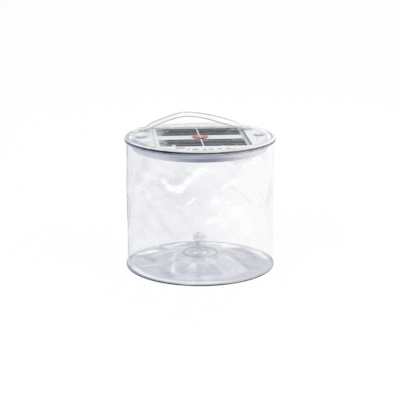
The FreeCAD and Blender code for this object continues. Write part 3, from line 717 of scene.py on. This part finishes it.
WALL_ROWS = 150
WALL_TURNS = 360
HALF_FILM = 0.2  # from a film's face to its middle
WALL_LAP_LOW = 0.3  # the wall runs this far into each bead
WALL_LAP_HIGH = 0.5
WALL_HELD_LOW = 14.0  # the welds hold the film round over these heights
WALL_HELD_HIGH = 12.0
WALL_BULGE = 0.35  # the film stands out by this much at most
SLOW_DENT = 0.5
QUICK_DENT = 0.3
CREASE_DEPTH = 0.55
# painted shade next to each crease, as a share of its whiteness
CREASE_SHADE = 0.22
wall_top = corner_of("wall_sleeve")[2]
wall_radius = corner_of("wall_sleeve")[0] - HALF_FILM
wall_top_radius = rim_out - RIM_WIDTH / 2
# Creases on the wall: (angle from the front in degrees, height) points, width, depth, whiteness: a
# painted highlight, painted shade below 0
WALL_CREASES = [
    ([(-33, 86), (-29.5, 82.5), (-25, 80.4), (-20, 80.6)], 2.6, 0.45, 0.9),
    ([(-27.5, 81), (-23, 80), (-19.5, 80.8)], 2.6, 0.2, 0.7),
    ([(-21, 80.3), (-17.5, 83.4), (-13.4, 87.6)], 2.4, 0.4, 0.8),
    ([(-13.4, 87.6), (-8, 92.2), (-2, 97.3)], 2.6, 0.3, 0.25),
    ([(-14, 69.3), (-11.6, 70.6), (-9.4, 73.5)], 1.1, 0.5, 0.9),
    ([(-23, 65), (-20.6, 66)], 1.0, 0.4, 0.6),
    ([(-56, 89), (-43, 88), (-31, 85.5)], 2.6, 0.8, 0.2),
    ([(-54, 71), (-41, 59), (-27, 42)], 2.4, 0.8, -0.3),
    ([(-64, 60), (-50, 44), (-38, 30)], 3.0, 0.8, 0.12),
    ([(12.4, 82), (16, 85), (22.4, 86)], 2.0, 0.7, 0.45),
    ([(5.7, 67), (14.5, 65.6), (24.4, 59.4), (34.7, 49.2)], 6.5, 0.3, 0.36),
    ([(0, 54), (14, 50), (28, 46), (38, 41)], 5.0, 0.2, 0.3),
    ([(-6.5, 55), (1.6, 54.4), (10.6, 55.5)], 2.2, 0.6, 0.2),
    ([(13, 33.5), (18, 31.7), (26.4, 30.4)], 2.2, 0.6, 0.6),
    ([(44, 65), (52.6, 56), (58, 46)], 2.4, 0.7, 0.5),
    ([(-1.4, 98.5), (6, 95), (19, 94)], 2.4, 0.6, 0.12),
    ([(-45, 96.7), (-33, 95), (-26, 91)], 2.4, 0.6, 0.35),
    ([(75, 88), (95, 70), (104, 48)], 3.0, 0.9, 0.4),
    ([(120, 92), (138, 78), (150, 80), (166, 92)], 2.4, 0.9, 0.6),
    ([(128, 40), (146, 52), (160, 45)], 2.6, 0.8, 0.4),
    ([(-172, 70), (-160, 58), (-146, 56)], 2.8, 0.9, 0.45),
    ([(-132, 88), (-118, 72), (-104, 40)], 3.0, 0.9, 0.4),
    ([(-88, 80), (-80, 62), (-84, 42)], 2.6, 0.8, 0.35),
]


def around(radius, turn, z):
    """Rows of x, y, z for angles counted from the front."""
    return np.stack([radius * np.sin(turn), -radius * np.cos(turn), z], -1).reshape(-1, 3)


def make_wall():
    heights = np.linspace(base_top - WALL_LAP_LOW, wall_top + WALL_LAP_HIGH, WALL_ROWS)
    angles = np.linspace(-180.0, 180.0, WALL_TURNS, endpoint=False)
    degrees, z = np.meshgrid(angles, heights)
    turn = np.radians(degrees)
    along = turn * wall_radius
    places = around(wall_radius, turn, z)
    slow = cloudiness(places, 0.028, 3.1).reshape(z.shape)
    quick = cloudiness(places * np.array([1.0, 1.0, 0.7]), 0.075, 7.7).reshape(z.shape)
    held = np.clip((z - base_top) / WALL_HELD_LOW, 0.0, 1.0)
    held = held * np.clip((wall_top - z) / WALL_HELD_HIGH, 0.0, 1.0)
    dent = SLOW_DENT * slow + QUICK_DENT * quick
    slanted = np.stack([0.42 * along + 0.24 * z, 0.9 * along - 1.6 * z, 0.0 * z], -1)
    slanted = slanted.reshape(-1, 3)
    streak = cloudiness(slanted, 0.055, 11.3) + 0.6 * cloudiness(slanted, 0.13, 4.9)
    # Painted light and shade: slanted streaks and soft blotches, a painted highlight along each
    # crease and painted shade next to it.
    fold_light_shade = 0.30 * slow - 0.20 * np.abs(quick) + 0.42 * streak.reshape(z.shape)
    for points, width, depth, white in WALL_CREASES:
        line = smooth_line([(math.radians(a) * wall_radius, h) for a, h in points])
        away = nearest(along, z, line)
        crest = np.exp(-(away / width) ** 2)
        foot = np.exp(-(away / (2.6 * width)) ** 2)
        shade_beside = np.exp(-((away - 2.0 * width) / (1.4 * width)) ** 2)
        dent -= CREASE_DEPTH * depth * (crest - 0.5 * foot)
        fold_light_shade += white * crest - CREASE_SHADE * white * shade_beside
    climb = np.clip((z - base_top) / (wall_top - base_top), 0.0, 1.0)
    radius = wall_radius + (wall_top_radius - wall_radius) * climb
    radius = radius + held * np.minimum(dent, WALL_BULGE)
    fold_light_shade = np.clip(fold_light_shade * held, -1.0, 1.0)
    verts = around(radius, turn, z).tolist()
    faces = grid_faces(WALL_ROWS, WALL_TURNS)
    return piece("wall_sheet", verts, faces, wall_film, {"fold_light_shade": fold_light_shade.ravel()})


wall = make_wall()


# Bottom film: flat at the ring, drawn up to the valve, with folds that run out from it

FLOOR_ROWS = 90
FLOOR_TURNS = 360
RECESS_INSET = 9.1  # from the ring to where the film begins to rise
FLOOR_FREE_OUT = 9.0  # the ring and the flange hold the film flat over these widths
FLOOR_FREE_IN = 6.0
# painted shade next to each fold, as a share of its whiteness
FLOOR_FOLD_SHADE = 0.3
FLANGE_UNDERLAP = (13.0, 5.7, 6)  # film under the flange: radii and rows
FLOOR_LAP = 0.3
CROWN_MARGIN = 0.4
FRONT_HIGHLIGHT = 57.6  # radius and width of the painted highlight line inside the ring
FRONT_HIGHLIGHT_WIDTH = 2.2
crown = corner_of("valve_flange", False)[2] - HALF_FILM
floor_z = corner_of("bottom_film", False)[2] + HALF_FILM
recess = base_in - RECESS_INSET
flange_out = corner_of("valve_flange")[0] + CROWN_MARGIN
# Folds on the bottom film: (x, y) points, width, height, whiteness: a painted highlight, painted
# shade below 0
FLOOR_FOLDS = [
    ([(-52, 26), (-43, 31), (-36, 33)], 3.4, 0.8, 1.3),
    ([(-45.6, 14.7), (-42.8, 7.3), (-39, -1.5)], 2.8, -0.7, -0.65),
    ([(-35, -25), (-31, -33), (-27, -40)], 2.8, -0.6, -0.6),
    ([(-26, 44), (-19, 48), (-11, 54)], 3.2, 0.8, 1.6),
    ([(-26, -38), (-24, -17), (-21, 2)], 2.8, 0.8, 0.42),
    ([(-34, 42), (-28, 32), (-20, 20)], 4.0, -0.7, -0.7),
    ([(-50, -8), (-36, -14), (-22, -12)], 2.4, 0.6, 0.4),
    ([(-8, -18), (-4, -34), (-6, -50)], 2.2, -0.5, -0.45),
    ([(6, -20), (14, -36), (16, -48)], 3.4, 0.5, 0.12),
    ([(16, 28), (29, -7), (40, -25)], 3.4, -0.3, -0.22),
    ([(25, 36), (42, 20), (50, 4)], 3.2, -0.5, -0.45),
    ([(8, 53), (24, 48), (38, 41)], 5.0, 0.4, 0.9),
    ([(46, 34), (54, 22), (58, 6)], 5.0, 0.3, 0.7),
    ([(18, 12), (32, 14), (48, 10)], 3.4, 0.6, 0.25),
    ([(4, 24), (10, 38), (14, 52)], 3.4, 0.6, 0.25),
    ([(20, -8), (34, -20), (44, -34)], 3.4, 0.5, 0.12),
]


def make_floor():
    outside = np.linspace(base_in + FLOOR_LAP, flange_out, FLOOR_ROWS)
    radii = np.concatenate([outside, np.linspace(*FLANGE_UNDERLAP)])
    angles = np.linspace(0.0, math.tau, FLOOR_TURNS, endpoint=False)
    turn, r = np.meshgrid(angles, radii)
    rise = np.clip((recess - r) / (recess - flange_out), 0.0, 1.0)
    height = floor_z + (crown - floor_z) * rise * rise * (3.0 - 2.0 * rise)
    x, y = r * np.cos(turn), r * np.sin(turn)
    places = np.stack([x, y, height], -1).reshape(-1, 3)
    slow = cloudiness(places, 0.05, 5.3).reshape(r.shape)
    spokes = np.sin(11 * turn + 2.4 * slow + 0.8) * 0.5 + np.sin(7 * turn - 1.7 * slow) * 0.5
    free = np.clip((base_in - r) / FLOOR_FREE_OUT, 0.0, 1.0)
    free = free * np.clip((r - flange_out) / FLOOR_FREE_IN, 0.0, 1.0)
    lift = 0.35 * spokes + 0.3 * slow
    # Painted shade over the whole film, painted light and shade along the spokes, painted
    # highlights on the folds with painted shade next to them.
    fold_light_shade = -0.25 + 0.35 * spokes * slow + 0.2 * slow
    for points, width, depth, white in FLOOR_FOLDS:
        away = nearest(x, y, smooth_line(points))
        crest = np.exp(-(away / width) ** 2)
        lift += depth * crest
        shade_beside = np.exp(-((away - 2.0 * width) / (1.3 * width)) ** 2)
        fold_light_shade += white * crest - FLOOR_FOLD_SHADE * white * shade_beside
    z = np.maximum(height + free * lift, floor_z - 0.1)
    fold_light_shade = np.clip(fold_light_shade, -1.0, 1.0) * np.clip(0.25 + free, 0.0, 1.0)
    # Painted highlight: a light line along the front just inside the ring.
    front = np.clip(-y / 30.0, 0.0, 1.0) * np.clip((30.0 - x) / 40.0, 0.0, 1.0)
    front_highlight = np.exp(-((r - FRONT_HIGHLIGHT) / FRONT_HIGHLIGHT_WIDTH) ** 2)
    fold_light_shade = np.clip(fold_light_shade + 1.1 * front * front_highlight, -1.0, 1.0)
    verts = np.stack([x, y, z], -1).reshape(-1, 3)
    faces = grid_faces(len(radii), FLOOR_TURNS)
    return piece("floor_sheet", verts.tolist(), faces, floor_film, {"fold_light_shade": fold_light_shade.ravel()})


floor_piece = make_floor()


# Top film: one flat sheet with a round hole for each button

BUTTON_HOLE = 4.2
FILM_POINTS = 288
HOLE_POINTS = 72


def make_top_film():
    z = (film_top - 0.05) * MM
    mesh = bmesh.new()
    circles = [(0.0, film_out, FILM_POINTS, 1.0)]
    for button in ("power_button", "level_button"):
        low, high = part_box(button)
        circles.append(((low[0] + high[0]) / 2 / MM, BUTTON_HOLE, HOLE_POINTS, -1.0))
    for x, radius, count, way in circles:
        ring = []
        for k in range(count):
            a = way * math.tau * k / count
            place = (x + radius * math.cos(a)) * MM, radius * math.sin(a) * MM, z
            ring.append(mesh.verts.new(place))
        for a, b in zip(ring, ring[1:] + ring[:1]):
            mesh.edges.new((a, b))
    bmesh.ops.triangle_fill(
        mesh, use_beauty=True, use_dissolve=False, edges=mesh.edges[:], normal=(0, 0, 1))
    data = bpy.data.meshes.new("top_sheet")
    mesh.to_mesh(data)
    mesh.free()
    data.materials.append(top_cover_film)
    obj = bpy.data.objects.new("top_sheet", data)
    scene.collection.objects.link(obj)
    return obj


top_sheet = make_top_film()


# Cast cover of the solar panel: its sides and top, with a soft edge

PANEL_CORNER = 4.0
PANEL_CORNER_STEPS = 12


def make_panel_cover():
    half, _, top = corner_of("solar_cover")
    low = corner_of("solar_cover", False)[2]
    middle = half - PANEL_CORNER
    around_ring = 4 * (PANEL_CORNER_STEPS + 1)
    rings = [
        (0.0, low + 0.05), (0.0, top - 0.3), (0.06, top - 0.14), (0.2, top - 0.04), (0.4, top)]
    verts = []
    for inset, z in rings:
        for sx, sy, start in ((1, 1, 0), (-1, 1, 90), (-1, -1, 180), (1, -1, 270)):
            for k in range(PANEL_CORNER_STEPS + 1):
                a = math.radians(start + 90 * k / PANEL_CORNER_STEPS)
                reach = PANEL_CORNER - inset
                x, y = sx * middle + reach * math.cos(a), sy * middle + reach * math.sin(a)
                verts.append((x, y, z))
    faces = grid_faces(len(rings), around_ring)
    faces.append(tuple(range(len(verts) - around_ring, len(verts))))
    return piece("panel_cover", verts, faces, resin)


panel_cover = make_panel_cover()


# Strap: a clear band with beaded edges, welded flat at both ends

STRAP_PEAK = 0.42  # where its highest point lies along its span
STRAP_FULLNESS = 1.2
STRAP_BEND = 0.15
STRAIGHT_LEFT = 0.45  # how far each half is a straight slope and not an arch
STRAIGHT_RIGHT = 0.3
STRAP_LEAN = math.radians(9.0)
STRAP_TWIST = math.radians(8.0)
TWIST_AT = 22.0
TWIST_RUN = 16.0
STRAP_RISE = 12.2
STRAP_HALF_WIDTH = 5.5
HINGE_LIFT = 1.1
STRAP_ROWS = 90
WELD_LIFT = 0.5  # middle of the welded end above its tab
WELD_LENGTH = 4.0
SETTLE_RUN = 9.0  # the ends lie down over this length, where the rise is below the next value
SETTLE_BELOW = 6.0
FILM_HALF = 0.22
EDGE_HALF = 0.26  # added to the film's half thickness at the beaded edges
EDGE_BEAD = (0.93, 0.07)  # place and width of the bead, as shares of the half width
EDGE_LINE = (0.94, 0.12)  # and of the grey line on it
EDGE_FADE_LEFT = (-51.0, 9.0)  # where the line begins to show, and over what length
EDGE_FADE_RIGHT = (40.0, 14.0)
EDGE_LEAST = 0.15
LEFT_INSET = 1.0  # from each tab's outer edge to the strap's end
RIGHT_INSET = 0.5
SLOPE_STEP = 0.4
tab_left_low = corner_of("strap_weld_tab_left", False)
tab_left_high = corner_of("strap_weld_tab_left")
tab_right_low = corner_of("strap_weld_tab_right", False)
tab_right_high = corner_of("strap_weld_tab_right")
strap_low, strap_high = corner_of("handle_strap", False), corner_of("handle_strap")
strap_middle = strap_low[0] + (strap_high[0] - strap_low[0]) * STRAP_PEAK
strap_y = (tab_right_low[1] + tab_right_high[1]) / 2
tab_top = tab_left_high[2]
hinge_z = tab_top + HINGE_LIFT


def strap_height(x):
    """Rise of the strap's middle above its hinge line, and 0 outside its span."""
    end = strap_low[0] if x < strap_middle else strap_high[0]
    way = max(0.0, min(1.0, (x - end) / (strap_middle - end)))
    arch = math.sin(math.pi / 2 * way) ** STRAP_FULLNESS
    bent = math.hypot(1.0 - way, STRAP_BEND) - STRAP_BEND
    straight = 1.0 - bent / (math.hypot(1.0, STRAP_BEND) - STRAP_BEND)
    share = STRAIGHT_LEFT if x < strap_middle else STRAIGHT_RIGHT
    return STRAP_RISE * (arch + (straight - arch) * share)


def edge_share(x):
    """How clearly the strap's edge is seen: less towards its two ends."""
    left = (x - EDGE_FADE_LEFT[0]) / EDGE_FADE_LEFT[1]
    right = (EDGE_FADE_RIGHT[0] - x) / EDGE_FADE_RIGHT[1]
    return min(1.0, max(EDGE_LEAST, min(left, right)))


def across(side, place, width):
    """1 at a place on either side of the strap's middle, falling off over a width."""
    return math.exp(-((abs(side) - place) / width) ** 2)


def strap_half_mesh(name, start, flat_end):
    """One half of the strap, from its weld to the peak."""
    section = []
    for k in range(-8, 9):
        side = k / 8
        section.append((side, FILM_HALF + EDGE_HALF * across(side, *EDGE_BEAD)))
    outline = [(s, h, 1) for s, h in section] + [(s, h, -1) for s, h in reversed(section)]
    verts, field = [], []
    for i in range(STRAP_ROWS):
        x = start + (strap_middle - start) * i / (STRAP_ROWS - 1)
        h = strap_height(x)
        settle = max(0.0, 1.0 - abs(x - flat_end) / SETTLE_RUN) if h < SETTLE_BELOW else 0.0
        settle = settle * settle * (3 - 2 * settle)
        twist = STRAP_TWIST * math.exp(-((x - TWIST_AT) / TWIST_RUN) ** 2)
        lean = (STRAP_LEAN + twist) * (1.0 - settle)
        arch_z = hinge_z + h * math.cos(STRAP_LEAN)
        middle_y = strap_y - h * math.sin(STRAP_LEAN)
        middle_z = arch_z * (1 - settle) + (tab_top + WELD_LIFT) * settle
        slope = strap_height(x + SLOPE_STEP) - strap_height(x - SLOPE_STEP)
        slope = slope / (2 * SLOPE_STEP) * (1 - settle)
        size = math.hypot(1.0, slope)
        seen = edge_share(x)
        middle = Vector((x, middle_y, middle_z))
        normal = Vector((-slope / size, -math.sin(lean) / size, math.cos(lean) / size))
        wide = Vector((0.0, math.cos(lean), math.sin(lean)))
        for side, lump, face in outline:
            p = middle + wide * (side * STRAP_HALF_WIDTH) + normal * (face * lump)
            verts.append(tuple(p))
            field.append(seen * across(side, *EDGE_LINE))
    faces = grid_faces(STRAP_ROWS, len(outline))
    last = (STRAP_ROWS - 1) * len(outline)
    faces.append(tuple(range(len(outline))))
    faces.append(tuple(range(last, last + len(outline)))[::-1])
    return piece(name, verts, faces, strap_clear, {"line": field})


left, right = tab_left_low[0], tab_right_high[0]
strap_left = strap_half_mesh("strap_left", left + LEFT_INSET, left + WELD_LENGTH)
strap_right = strap_half_mesh("strap_right", right - RIGHT_INSET, right - WELD_LENGTH)


# Printed row on the head's front edge: plain bars and dots, no lettering

# Middle x and y, length, width
PRINT_MARKS = [
    (-20.0, -45.5, 8.6, 3.4), (-13.6, -50.0, 3.6, 2.4), (-8.0, -51.4, 5.8, 3.6),
    (-1.0, -52.0, 4.0, 3.2), (4.4, -51.8, 4.0, 3.2), (11.4, -50.8, 4.0, 3.2),
    (18.4, -49.4, 4.0, 3.2),
]
MARK_POINTS = 24


def make_print():
    z = corner_of("head_upper_shell")[2] + 0.03
    verts, faces = [], []
    for x, y, length, width in PRINT_MARKS:
        first = len(verts)
        radius = width / 2
        reach = length / 2 - radius
        for k in range(MARK_POINTS):
            a = math.tau * k / MARK_POINTS
            side = math.copysign(reach, math.cos(a))
            verts.append((x + side + radius * math.cos(a), y + radius * math.sin(a), z))
        faces.append(tuple(range(first, len(verts))))
    ink = mottled("grey_ink", (0.10, 0.10, 0.11), (0.24, 0.24, 0.26), 400.0, 0.5)
    return piece("printed_marks", verts, faces, ink)


marks = make_print()


# What each piece stands for and what it moves with

BEND_FROM = 4.0  # distances inside each weld and past it, given with each strap half below; nothing reads them
BEND_TO = 12.0
for obj, nodes, body, slot in (
    (rim, ["top_weld_bead"], "head", "clear_bead"),
    (base, ["base_weld_bead"], "base", "clear_bead"),
    (wall, ["wall_sleeve"], "base", "clear_film"),
    (floor_piece, ["bottom_film"], "base", "clear_film"),
    (top_sheet, ["top_film"], "head", "clear_film"),
    (panel_cover, ["solar_cover"], "head", "panel_cover"),
    (marks, [], "head", "strips"),
):
    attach(obj, body)
    if nodes:
        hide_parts(*nodes)

for obj, begin, end in (
    (strap_left, tab_left_high[0] - BEND_FROM, tab_left_high[0] + BEND_TO),
    (strap_right, tab_right_low[0] + BEND_FROM, tab_right_low[0] - BEND_TO),
):
    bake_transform(obj)
    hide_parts("handle_strap")

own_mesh(wall)


# Stage, light and camera

def seen_share(tree):
    """1 for what a picture, a reflection or a clear film shows, 0 for light on the part."""
    path = tree.nodes.new("ShaderNodeLightPath")
    seen = path.outputs["Is Camera Ray"]
    for name in ("Is Glossy Ray", "Is Transmission Ray"):
        either = tree.nodes.new("ShaderNodeMath")
        either.operation = "MAXIMUM"
        tree.links.new(seen, either.inputs[0])
        tree.links.new(path.outputs[name], either.inputs[1])
        seen = either.outputs[0]
    return seen


def colour_node(tree, kind, colour):
    node = tree.nodes.new(kind)
    node.inputs["Color"].default_value = (*colour, 1.0)
    return node


def mix_out(tree, share, unseen, seen, output):
    """The seen shader by its share, the unseen one for the rest, into a new output node."""
    both = tree.nodes.new("ShaderNodeMixShader")
    for source, socket in zip((share, unseen.outputs[0], seen.outputs[0]), both.inputs):
        tree.links.new(source, socket)
    tree.links.new(both.outputs[0], tree.nodes.new(output).inputs["Surface"])


world = bpy.data.worlds.new("studio")
scene.world = world
world.use_nodes = True
tree = world.node_tree
tree.nodes.clear()
plain = colour_node(tree, "ShaderNodeBackground", (0.97, 0.98, 1.0))
plain.inputs["Strength"].default_value = 0.8
white = colour_node(tree, "ShaderNodeBackground", (1.0, 1.0, 1.0))
white.inputs["Strength"].default_value = 1.0
mix_out(tree, seen_share(tree), plain, white, "ShaderNodeOutputWorld")

stage_material = bpy.data.materials.new("studio_floor")
stage_material.use_nodes = True
tree = stage_material.node_tree
tree.nodes.clear()
matte = colour_node(tree, "ShaderNodeBsdfDiffuse", (0.93, 0.93, 0.93))
glow = colour_node(tree, "ShaderNodeEmission", (1.0, 1.0, 1.0))
glow_share = tree.nodes.new("ShaderNodeMath")
glow_share.operation = "MULTIPLY"
tree.links.new(seen_share(tree), glow_share.inputs[0])
glow_share.inputs[1].default_value = 0.93
mix_out(tree, glow_share.outputs[0], matte, glow, "ShaderNodeOutputMaterial")

plane = bpy.data.meshes.new("studio_floor")
plane.from_pydata([(-4, -4, 0), (4, -4, 0), (4, 4, 0), (-4, 4, 0)], [], [(0, 1, 2, 3)])
plane.materials.append(stage_material)
stage = bpy.data.objects.new("studio_floor", plane)
stage.location.z = -0.0002  # just clear of the base
scene.collection.objects.link(stage)


LAMP_TARGET = Vector((0, 0, 0.06))


def lamp(name, place, size, power):
    light = bpy.data.lights.new(name, "AREA")
    light.shape = "RECTANGLE"
    light.size, light.size_y = size
    light.energy = power
    obj = bpy.data.objects.new(name, light)
    obj.location = place
    obj.rotation_euler = (LAMP_TARGET - Vector(place)).to_track_quat("-Z", "Y").to_euler()
    scene.collection.objects.link(obj)


lamp("key", (-0.55, -0.65, 0.85), (0.5, 0.5), 3.2)
lamp("fill", (0.75, -0.45, 0.5), (0.4, 0.7), 1.6)
lamp("back", (0.2, 0.8, 0.7), (0.7, 0.4), 1.4)

camera = bpy.data.cameras.new("camera")
camera.sensor_width = 36.0
camera.lens = 105.75
viewer = bpy.data.objects.new("camera", camera)
viewer.location = (-0.0843, -0.9633, 0.312)
viewer.rotation_euler = (math.radians(90.0 - 14.84), 0.0, math.radians(-5.0))
scene.collection.objects.link(viewer)
scene.camera = viewer

scene.cycles.transparent_max_bounces = 32
scene.view_settings.view_transform = "Standard"
